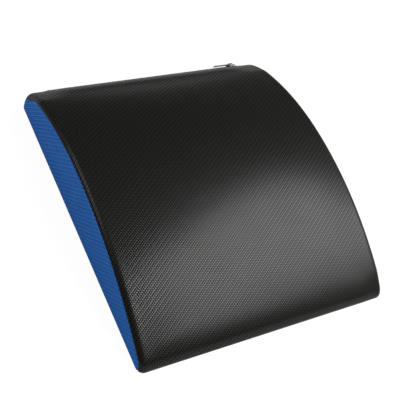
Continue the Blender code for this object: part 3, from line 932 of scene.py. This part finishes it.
# Base panel, flat on the floor
def roundedRing(halfLong, halfWide, corner, steps=6):
    ring = []
    for sx, sy, turns in ((1, 1, 0), (-1, 1, 1), (-1, -1, 2), (1, -1, 3)):
        for i in range(steps + 1):
            a = quarter * (turns + i / steps)
            x = sx * (halfLong - corner) + corner * math.cos(a)
            ring.append((x, sy * (halfWide - corner) + corner * math.sin(a)))
    return ring


def baseRing(inset, steps):
    corner = max(arch["edgeRadius"] - inset, seam["lipRadius"])
    return roundedRing(arch["halfWidth"] - inset, length / 2 - inset, corner, steps)


rim = [(x, y, 0) for x, y in baseRing(arch["baseSeamInset"] + edgeIn, steps=4)]
baseMesh = newMesh("baseSkin", rim, [range(len(rim))[::-1]])
addLayer(baseMesh, "cloth", rim)
baseMesh.materials.append(finishes["baseCloth"])


# Foam block: swells in its cover as the seams hold it back
swell = {
    "voxel": 5 * mm,
    "under": 2.5 * mm,  # the block starts this far inside the cover
    "pressure": 4.0,
    "frames": 20,
    "most": 1.6 * mm,
    "reserve": 0.6 * mm,
    "pinReach": 6.5 * mm,
    "floorPin": 5 * mm,
    "smoothRounds": 6,
    "near": 8,  # places of the block that a place of the cover follows
    "zipClear": 20 * mm,
    "zipFade": 30 * mm,
    "baseFade": 12 * mm,
    "channel": 5 * mm,  # depth of the block's channel behind the zip
    "channelEdges": (10 * mm, 20 * mm),
}


def hullMesh():
    # The whole cover as one closed body
    reach = flatHalf + arch["edgeRadius"] * quarter
    rolls = spread(flatHalf, reach, arch["edgeRadius"] * quarter / grid["rollSteps"])[1:]
    middle = spread(-flatHalf, flatHalf, 2 * swell["voxel"])
    us = [-u for u in reversed(rolls)] + middle + rolls
    vs = spread(0, travel["end"], swell["voxel"])
    points = [(u, v) for v in vs for u in us]
    row = len(us)
    sides = [range(0, len(points), row), range(row - 1, len(points), row)[::-1]]
    base = [*range(row)[::-1], *range(len(points) - row, len(points))]
    return wrapped("hull", points, gridFaces(len(vs), row) + sides + [base], finishes["foam"])


def borderSpots(meshes):
    found = []
    for mesh in meshes:
        used = Counter(key for face in mesh.polygons for key in face.edge_keys)
        rim = {v for key, count in used.items() if count == 1 for v in key}
        found += [mesh.vertices[v].co.copy() for v in rim]
    return found


def treeFrom(points):
    tree = KDTree(len(points))
    for i, point in enumerate(points):
        tree.insert(point, i)
    tree.balance()
    return tree


def makeBlock():
    block = linkObject("foamBlock", hullMesh())
    remesh = block.modifiers.new("even", "REMESH")
    remesh.mode = "VOXEL"
    remesh.voxel_size = swell["voxel"]
    mesh = evaluatedMesh(block)
    block.modifiers.clear()
    block.data = mesh
    setPoints(mesh, pointsOf(mesh) - normalsOf(mesh) * swell["under"])
    return block


def simulateSwelling(block, seamSpots):
    tree = treeFrom(seamSpots)
    pins = block.vertex_groups.new(name="seams")
    for vert in block.data.vertices:
        if tree.find(vert.co)[2] < swell["pinReach"] or vert.co.z < swell["floorPin"]:
            pins.add([vert.index], 1.0, "REPLACE")
    cloth = block.modifiers.new("swelling", "CLOTH")
    cloth.settings.vertex_group_mass = "seams"
    cloth.settings.use_pressure = True
    cloth.settings.uniform_pressure_force = swell["pressure"]
    cloth.settings.effector_weights.gravity = 0
    cloth.point_cache.frame_start = 1
    cloth.point_cache.frame_end = swell["frames"]
    for number in range(1, swell["frames"] + 1):
        scene.frame_set(number)
    graph = bpy.context.evaluated_depsgraph_get()
    points = pointsOf(block.evaluated_get(graph).data)
    block.modifiers.clear()
    scene.frame_set(1)
    return points


def smoothed(mesh, values, rounds):
    ends = np.array([e.vertices[:] for e in mesh.edges])
    near, far = np.concatenate([ends, ends[:, ::-1]]).T
    count = np.bincount(near)
    for _ in range(rounds):
        values = (values + np.bincount(near, values[far]) / count) / 2
    return values


covers = (topMesh, heelMesh, leftMesh, rightMesh)
block = makeBlock()
before = pointsOf(block.data)
beforeNormals = normalsOf(block.data)
after = simulateSwelling(block, borderSpots(covers))
raw = ((after - before) * beforeNormals).sum(axis=1)
print(f"swelling: most {raw.max() / mm:.2f} mm, mean {raw.mean() / mm:.2f} mm")
rise = swell["most"] * np.tanh(raw / swell["most"])
rise = smoothed(block.data, rise, swell["smoothRounds"])
riseTree = treeFrom(before)
zipSpot, zipOut = (Vector(values[0]) for values in wrappedSpots([(0, travel["zip"])]))

# The seams that meet at these corners draw the cover in
heel = {"along": travel["zip"] - 20 * mm, "pull": 2.3 * mm, "reach": (50 * mm, 24 * mm, 24 * mm)}
toe = {"along": travel["nose"] - 4 * mm, "pull": 1.6 * mm, "reach": (24 * mm, 24 * mm, 24 * mm)}
corners = {
    "leftHeel": {"across": -flatHalf, **heel},
    "rightHeel": {"across": flatHalf, **heel},
    "rightToe": {"across": flatHalf, **toe},
}
cornerSpots, _ = wrappedSpots([(corner["across"], corner["along"]) for corner in corners.values()])
for corner, spot in zip(corners.values(), cornerSpots):
    corner["spot"] = Vector(spot)


def pullAt(point):
    total = 0
    for corner in corners.values():
        away = point - corner["spot"]
        share = Vector([part / reach for part, reach in zip(away, corner["reach"])]).length
        total += corner["pull"] * (1 - ramp(share, 0, 1))
    return total * ramp(point.z, 0, arch["baseRound"])


def fromZip(point):
    return math.hypot(point.y - zipSpot.y, point.z - zipSpot.z)


def riseAt(point):
    # Outward movement of the cover here: the swelling fades out at the zip and at the base
    near = riseTree.find_n(point, swell["near"])
    weights = [1 / (distance + swell["voxel"]) ** 2 for _, _, distance in near]
    mean = sum(rise[i] * w for (_, i, _), w in zip(near, weights)) / sum(weights)
    share = ramp(fromZip(point), swell["zipClear"], swell["zipClear"] + swell["zipFade"])
    share *= ramp(point.z, arch["baseRound"], swell["baseFade"])
    return (mean - swell["reserve"]) * share - pullAt(point)


def channelAt(point):
    # The block lies clear of the slider's back plate along the zip
    return swell["channel"] * (1 - ramp(fromZip(point), *swell["channelEdges"]))


def settle(mesh):
    points = pointsOf(mesh)
    moves = np.array([riseAt(Vector(point)) for point in points])
    setPoints(mesh, points + normalsOf(mesh) * moves[:, None])


inset = np.array([channelAt(Vector(point)) + pullAt(Vector(point)) for point in before])
setPoints(block.data, before + beforeNormals * (rise - inset)[:, None])
for mesh in covers:
    settle(mesh)
print("foam block swollen:", len(block.data.polygons), "faces")


# Turned-in edges and the skins' thickness
def lipProfile():
    radius = seam["lipRadius"]
    turn = [(radius * math.sin(a), radius * (1 - math.cos(a))) for a in quarterTurn(seam["lipSteps"])]
    return [(0.0, 0.0), *turn, (radius, radius + seam["lipDepth"])]


def edgeLean(vert, place):
    # Where the edge starts and which way it leads on, over the surface and in the flat cloth
    outwards = Vector()
    flatInwards = Vector()
    for edge in vert.link_edges:
        if edge.is_boundary:
            face = edge.link_faces[0]
            across = (edge.verts[1].co - edge.verts[0].co).cross(face.normal)
            middle = (edge.verts[0].co + edge.verts[1].co) / 2
            if across.dot(middle - face.calc_center_median()) < 0:
                across = -across
            outwards += across.normalized()
        else:
            flatInwards += edge.other_vert(vert)[place] - vert[place]
    normal = vert.normal.copy()
    outwards = (outwards - normal * outwards.dot(normal)).normalized()
    return vert.co.copy(), outwards, normal, vert[place].copy(), -flatInwards.normalized()


def turnEdgesIn(mesh):
    shape = bmesh.new()
    shape.from_mesh(mesh)
    shape.normal_update()
    place = shape.verts.layers.float_vector["cloth"]
    ring = [e for e in shape.edges if e.is_boundary]
    leans = {v: edgeLean(v, place) for e in ring for v in e.verts}
    profile = lipProfile()
    for (outStep, inStep), reached in list(zip(profile, lengthsAlong(profile)))[1:]:
        made = bmesh.ops.extrude_edge_only(shape, edges=ring)["geom"]
        fresh = {item for item in made if isinstance(item, bmesh.types.BMVert)}
        edges = [item for item in made if isinstance(item, bmesh.types.BMEdge)]
        ring = [e for e in edges if fresh.issuperset(e.verts)]
        grown = {}
        for vert in fresh:
            others = [e.other_vert(vert) for e in vert.link_edges]
            old = next(other for other in others if other not in fresh)
            start, outwards, normal, flat, flatOut = leans[old]
            vert.co = start + outwards * outStep - normal * inStep
            vert[place] = flat + flatOut * reached
            grown[vert] = leans[old]
        leans = grown
    shape.to_mesh(mesh)
    shape.free()


def finishSkin(mesh, node):
    turnEdgesIn(mesh)
    return addPiece(mesh, "mat", node, seam["skin"])


skins = [
    finishSkin(topMesh, "top_cover"),
    finishSkin(heelMesh, "heel_strip"),
    finishSkin(leftMesh, "left_side_panel"),
    finishSkin(rightMesh, "right_side_panel"),
]
finishSkin(baseMesh, "base_panel")
standFor(block, "mat", "foam_core")
print("skins sewn")


# Stitches, one Geometry Nodes tree for every row
stitch = {
    "sizes": {"Length": 2.7 * mm, "Width": 0.7 * mm, "Height": 0.6 * mm},
    "pitch": 3.2 * mm,
    "seamDepth": 0.6 * mm,  # middle of the thread below the skin, in a seam
    "topRise": 0.12 * mm,  # and above it, in the row round the zip
    "baseHeight": 0.6 * mm,
    "endGap": 3 * mm,
}
topstitch = {"halfLong": 137.5 * mm, "halfWide": 8 * mm, "corner": 2 * mm}


def makeStitchTree():
    tree, given, result = growthGroup("sewStitches", stitch["sizes"])

    def named(label):
        inputs = {"Name": label}
        return put(tree, "GeometryNodeInputNamedAttribute", inputs, data_type="FLOAT_VECTOR")["Attribute"]

    ball = put(tree, "GeometryNodeMeshUVSphere", {"Segments": 8, "Rings": 6, "Radius": 0.5})["Mesh"]
    axes = {"Primary Axis": named("out"), "Secondary Axis": named("along")}
    turn = put(tree, "FunctionNodeAxesToRotation", axes, primary_axis="Z", secondary_axis="X")[0]
    inputs = {
        "Points": given["Geometry"],
        "Instance": ball,
        "Rotation": turn,
        "Scale": combine(given["Length"], given["Width"], given["Height"]),
    }
    return endGrowth(put(tree, "GeometryNodeInstanceOnPoints", inputs)[0], given, result)


stitchTree = makeStitchTree()


def evenPlaces(points, closed):
    # Stitch middles at an even pitch along a line of places
    line = np.array(points + points[:1] if closed else points)
    reached = lengthsAlong(line)
    count = round(reached[-1] / stitch["pitch"])
    wanted = (np.arange(count) + 0.5) * reached[-1] / count
    return np.stack([np.interp(wanted, reached, part) for part in line.T], axis=1)


def directions(spots, closed):
    # From the place before each one to the place after it
    after = np.roll(spots, -1, axis=0)
    earlier = np.roll(spots, 1, axis=0)
    if not closed:
        after[-1] = spots[-1]
        earlier[0] = spots[0]
    ways = after - earlier
    return ways / np.linalg.norm(ways, axis=1)[:, None]


def stitchRow(name, spots, outs, node, closed):
    source = newMesh(name + "Spots", spots)
    addLayer(source, "out", outs)
    addLayer(source, "along", directions(spots, closed))
    mesh = growMesh(name, source, stitchTree, {"Finish": finishes["thread"]})
    addPiece(mesh, "mat", node)


def sewOnCover(name, flatLine, node, rise, closed=False):
    spots, outs = wrappedSpots(evenPlaces(flatLine, closed))
    lifts = np.array([riseAt(Vector(spot)) for spot in spots]) + rise
    stitchRow(name, spots + outs * lifts[:, None], outs, node, closed)


for side, label in ((-1, "left"), (1, "right")):
    ends = (travel["toeWall"], travel["baseRound"])
    line = [(side * reachAtDepth(seamDepthAt(v)), v) for v in spread(*ends, arch["lineStep"])]
    sewOnCover(label + "SideSeamStitches", line, label + "_side_seam_thread", -stitch["seamDepth"])
    first = halfZip + seam["lipRadius"] + stitch["endGap"]
    last = seamReach - stitch["endGap"]
    line = [(side * first, travel["zip"]), (side * last, travel["zip"])]
    sewOnCover(label + "ZipEndStitches", line, label + "_zip_end_thread", -stitch["seamDepth"])
ring = roundedRing(topstitch["halfLong"], topstitch["halfWide"], topstitch["corner"])
ring = [(u, travel["zip"] + v) for u, v in ring]
sewOnCover("zipTopstitches", ring, "zip_topstitch_thread", stitch["topRise"], closed=True)
ring = [(x, y, stitch["baseHeight"]) for x, y in baseRing(arch["baseSeamInset"], steps=6)]
spots = evenPlaces(ring, closed=True)
outs = [(0, 0, -1)] * len(spots)
stitchRow("baseSeamStitches", spots, outs, "base_seam_thread", closed=True)
print("seams stitched")


# Zip: woven tapes under the cover's edges, and a wound nylon coil on each
tape = {
    "sink": 1.5 * mm,
    "thickness": 0.6 * mm,
    "reach": 14 * mm,
    "rowStep": 1.5 * mm,
    "halfLong": 143 * mm,
    "parting": 1.2 * mm,
}
coil = {
    "sizes": {
        "Length": 263 * mm,
        "Pitch": 1.4 * mm,
        "Width": 2.75 * mm,
        "Height": 2.5 * mm,
        "Wire": 0.62 * mm,
        "Wire sides": 6,
        "Points in a turn": 12,
    },
    "away": 1.7 * mm,  # middle of each coil to the zip line
    "sink": 0.25 * mm,
}


def makeTape(name, direction, node):
    rows = spread(tape["parting"] / 2, tape["reach"], tape["rowStep"])
    columns = spread(-tape["halfLong"], tape["halfLong"], grid["step"])
    if direction > 0:
        rows = rows[::-1]
    places = [(u, travel["zip"] - direction * v) for v in rows for u in columns]
    mesh = wrapped(name, places, gridFaces(len(rows), len(columns)), finishes["zipTape"])
    points = pointsOf(mesh)
    sinks = np.array([tape["sink"] + pullAt(Vector(point)) for point in points])
    setPoints(mesh, points - outsOf(mesh) * sinks[:, None])
    addPiece(mesh, "mat", node, tape["thickness"])


def makeCoilTree():
    places = {"Place": "Vector", "Turn": "Vector"}
    tree, given, result = growthGroup("windCoil", {**coil["sizes"], **places})
    inputs = {
        "Resolution": given["Points in a turn"],
        "Rotations": given["Length"] / given["Pitch"],
        "Start Radius": 0.5,
        "End Radius": 0.5,
        "Height": given["Length"],
    }
    winding = put(tree, "GeometryNodeCurveSpiral", inputs)[0]
    inputs = {
        "Geometry": winding,
        "Translation": combine(0.0, 0.0, given["Length"] * -0.5),
        "Scale": combine(given["Width"] - given["Wire"], given["Height"] - given["Wire"], 1.0),
    }
    oval = put(tree, "GeometryNodeTransform", inputs)[0]
    inputs = {"Resolution": given["Wire sides"], "Radius": given["Wire"] * 0.5}
    section = put(tree, "GeometryNodeCurvePrimitiveCircle", inputs)[0]
    inputs = {"Curve": oval, "Profile Curve": section, "Fill Caps": True}
    wire = put(tree, "GeometryNodeCurveToMesh", inputs)[0]
    inputs = {"Geometry": wire, "Translation": given["Place"], "Rotation": given["Turn"]}
    return endGrowth(put(tree, "GeometryNodeTransform", inputs)[0], given, result)


coilTree = makeCoilTree()
zipUp = zipOut.cross(Vector((-1, 0, 0)))
zipTurn = Matrix((zipUp, zipOut, (-1, 0, 0))).transposed().to_euler()


def makeCoil(name, direction, node):
    place = zipSpot + zipUp * direction * coil["away"] - zipOut * coil["sink"]
    values = {"Place": place, "Turn": zipTurn, "Finish": finishes["nylon"]}
    mesh = growMesh(name, newMesh(name + "Start"), coilTree, values)
    addPiece(mesh, "mat", node)


for direction, label in ((1, "upper"), (-1, "lower")):
    makeTape(label + "ZipTape", direction, label + "_zip_tape")
    makeCoil(label + "ZipCoil", direction, label + "_zip_coil")


# Plated pieces: the worked edges of the slider, its tab and the stops are eased
easing = {
    "weld": 0.002 * mm,
    "flat": math.radians(1),  # triangles this level are one face
    "edge": math.radians(28),  # an edge this sharp is eased
    "sharp": math.radians(40),  # and this one stays crisp
    "segments": 3,
}
plated = {
    "zip_slider": ("zipSlider", "slider", 0.22 * mm),
    "zip_pull_tab": ("pullTab", "pull_tab", 0.25 * mm),
    "upper_zip_top_stop": ("upperTopStop", "mat", 0.2 * mm),
    "lower_zip_top_stop": ("lowerTopStop", "mat", 0.2 * mm),
    "zip_bottom_stop": ("bottomStop", "mat", 0.2 * mm),
}


def easedCopy(node, name, body, width):
    shape = bmesh.new()
    shape.from_mesh(bpy.data.objects[node].data)
    bmesh.ops.remove_doubles(shape, verts=shape.verts, dist=easing["weld"])
    bmesh.ops.dissolve_limit(shape, angle_limit=easing["flat"], verts=shape.verts, edges=shape.edges)
    mesh = newMesh(name)
    shape.to_mesh(mesh)
    shape.free()
    mesh.materials.append(finishes["plated"])
    item = addPiece(mesh, body, node)
    mesh.set_sharp_from_angle(angle=easing["sharp"])
    edge = item.modifiers.new("eased", "BEVEL")
    edge.width = width
    edge.segments = easing["segments"]
    edge.limit_method = "ANGLE"
    edge.angle_limit = easing["edge"]


for node, (name, body, width) in plated.items():
    easedCopy(node, name, body, width)
print("zip fitted")


# Lights, backdrop and floor
studio = {
    "key": {"towards": (0.515, -0.28, 0.81), "distance": 1.3, "size": (1.1, 0.77), "turn": 38, "watts": 38},
    "fill": {"towards": (-0.61, 0.42, 0.67), "distance": 1.5, "size": (0.9, 0.9), "turn": 0, "watts": 9},
    "worldLevel": 0.4,  # on matt surfaces
    "ceiling": 0.025,  # in reflections
    "horizon": 0.06,
    "floorHalf": 8,
    "floorDrop": 0.3 * mm,
    "floorColour": 0.36,
    "shadowShare": 0.14,  # of the paper's colour, so the shadow stays faint
    "paperGlow": 0.95,
    "paperMirrored": 0.55,  # added to the lit paper in reflections
}


def softBox(name, setting):
    data = bpy.data.lights.new(name, "AREA")
    data.shape = "RECTANGLE"
    data.size, data.size_y = setting["size"]
    data.energy = setting["watts"]
    lamp = linkObject(name, data)
    towards = Vector(setting["towards"]).normalized()
    across = Vector((0, 1, 0)).cross(towards).normalized()
    across = Quaternion(towards, math.radians(setting["turn"])) @ across
    turned = Matrix((across, towards.cross(across), towards)).transposed().to_4x4()
    lamp.matrix_world = Matrix.Translation(towards * setting["distance"]) @ turned
    lamp.visible_camera = False


def raysIn(tree):
    # Rays from the camera, and rays in gloss and glass
    path = put(tree, "ShaderNodeLightPath")
    return path["Is Camera Ray"], calc("MAXIMUM", path["Is Glossy Ray"], path["Is Transmission Ray"])


def makeWorld():
    world = bpy.data.worlds.new("studio")
    scene.world = world
    world.use_nodes = True
    tree = world.node_tree
    seen, shiny = raysIn(tree)
    _, _, up = separate(put(tree, "ShaderNodeTexCoord")["Generated"])
    wall = 1 - easeStep(up, 0.0, studio["horizon"])
    wall = calc("MAXIMUM", wall * studio["floorColour"], studio["ceiling"])
    level = mixed(shiny, studio["worldLevel"], wall)
    feed(tree.nodes["Background"], {"Strength": calc("MAXIMUM", level, seen), "Color": (1, 1, 1, 1)})


def makeFloor():
    size, drop = studio["floorHalf"], studio["floorDrop"]
    sheet = [(x * size, y * size, -drop) for x, y in ((-1, -1), (1, -1), (1, 1), (-1, 1))]
    mesh = newMesh("floor", sheet, [(0, 1, 2, 3)])
    paper = (studio["floorColour"],) * 3
    faint = (studio["floorColour"] * studio["shadowShare"],) * 3
    finish, tree, shader = newFinish("floorPaper", paper, roughness=0.9)
    seen, shiny = raysIn(tree)
    glow = calc("MULTIPLY_ADD", seen, studio["paperGlow"], shiny * studio["paperMirrored"])
    inputs = {
        "Specular IOR Level": 0,
        "Base Color": shade(seen, paper, faint),
        "Emission Strength": glow,
        "Emission Color": (1, 1, 1, 1),
    }
    feed(shader, inputs)
    mesh.materials.append(finish)
    linkObject("floor", mesh)


softBox("keyLight", studio["key"])
softBox("fillLight", studio["fill"])
makeWorld()
makeFloor()
scene.view_settings.view_transform = "Standard"
bpy.data.objects.remove(sideLine, do_unlink=True)
